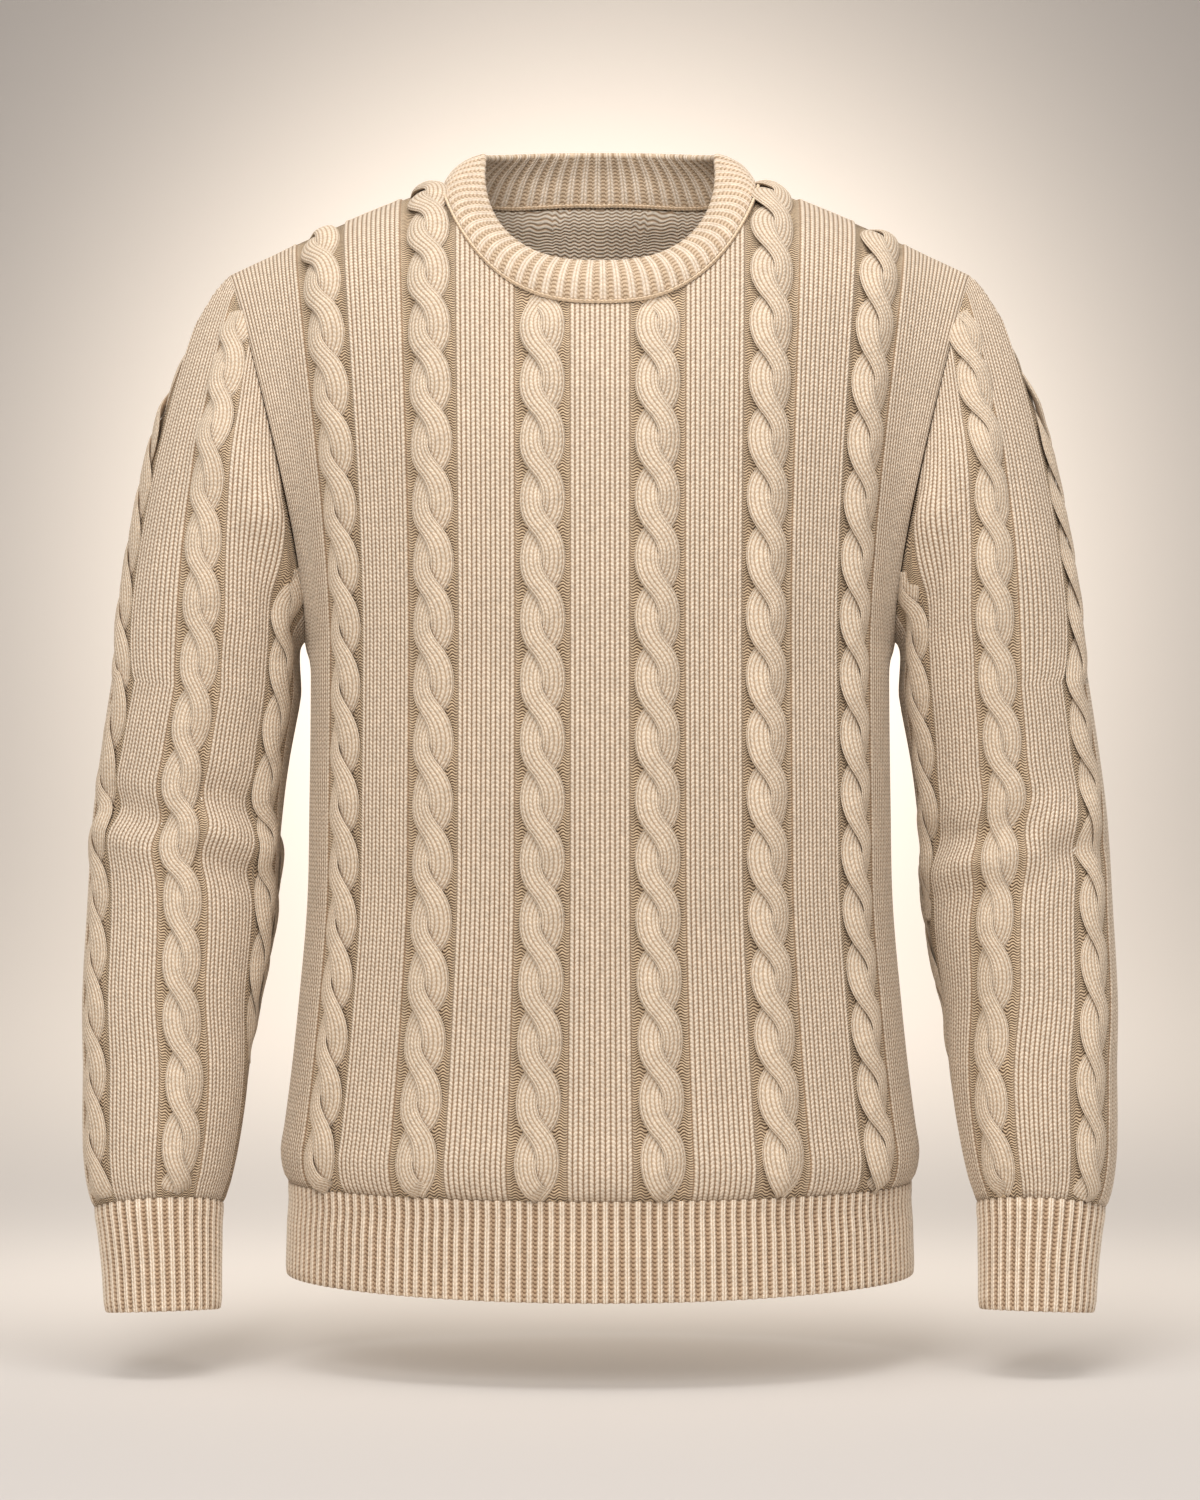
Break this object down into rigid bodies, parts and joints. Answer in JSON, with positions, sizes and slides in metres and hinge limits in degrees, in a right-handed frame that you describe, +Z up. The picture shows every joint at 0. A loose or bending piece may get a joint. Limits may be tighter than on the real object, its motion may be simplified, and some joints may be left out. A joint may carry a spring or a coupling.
{
  "type": "cable knit sweater",
  "caption": "Crew-neck cable knit pullover filled out as worn, hollow, with rope cables between plain bands and ribbed collar, hem and cuffs.",
  "frame": {"origin": "on the middle line, level with the points where the collar meets the shoulder seams, where the wearer's shoulders and neck carry it", "axes": "+Z up, the front faces -Y, +X towards the wearer's left sleeve"},
  "size_m": [0.6476, 0.2601, 0.7341],
  "materials": {
    "cable_knit": "matte cotton and wool yarn, cable and stockinette stitch, oatmeal beige",
    "rib_knit": "matte cotton and wool yarn, one by one rib, oatmeal beige"
  },
  "bodies": {
    "root": {"front_panel": "cable_knit", "back_panel": "cable_knit", "sleeve_left": "cable_knit", "sleeve_right": "cable_knit", "neckband": "rib_knit", "hem_rib_front": "rib_knit", "hem_rib_back": "rib_knit", "cuff_left": "rib_knit", "cuff_right": "rib_knit"}
  },
  "joints": []
}
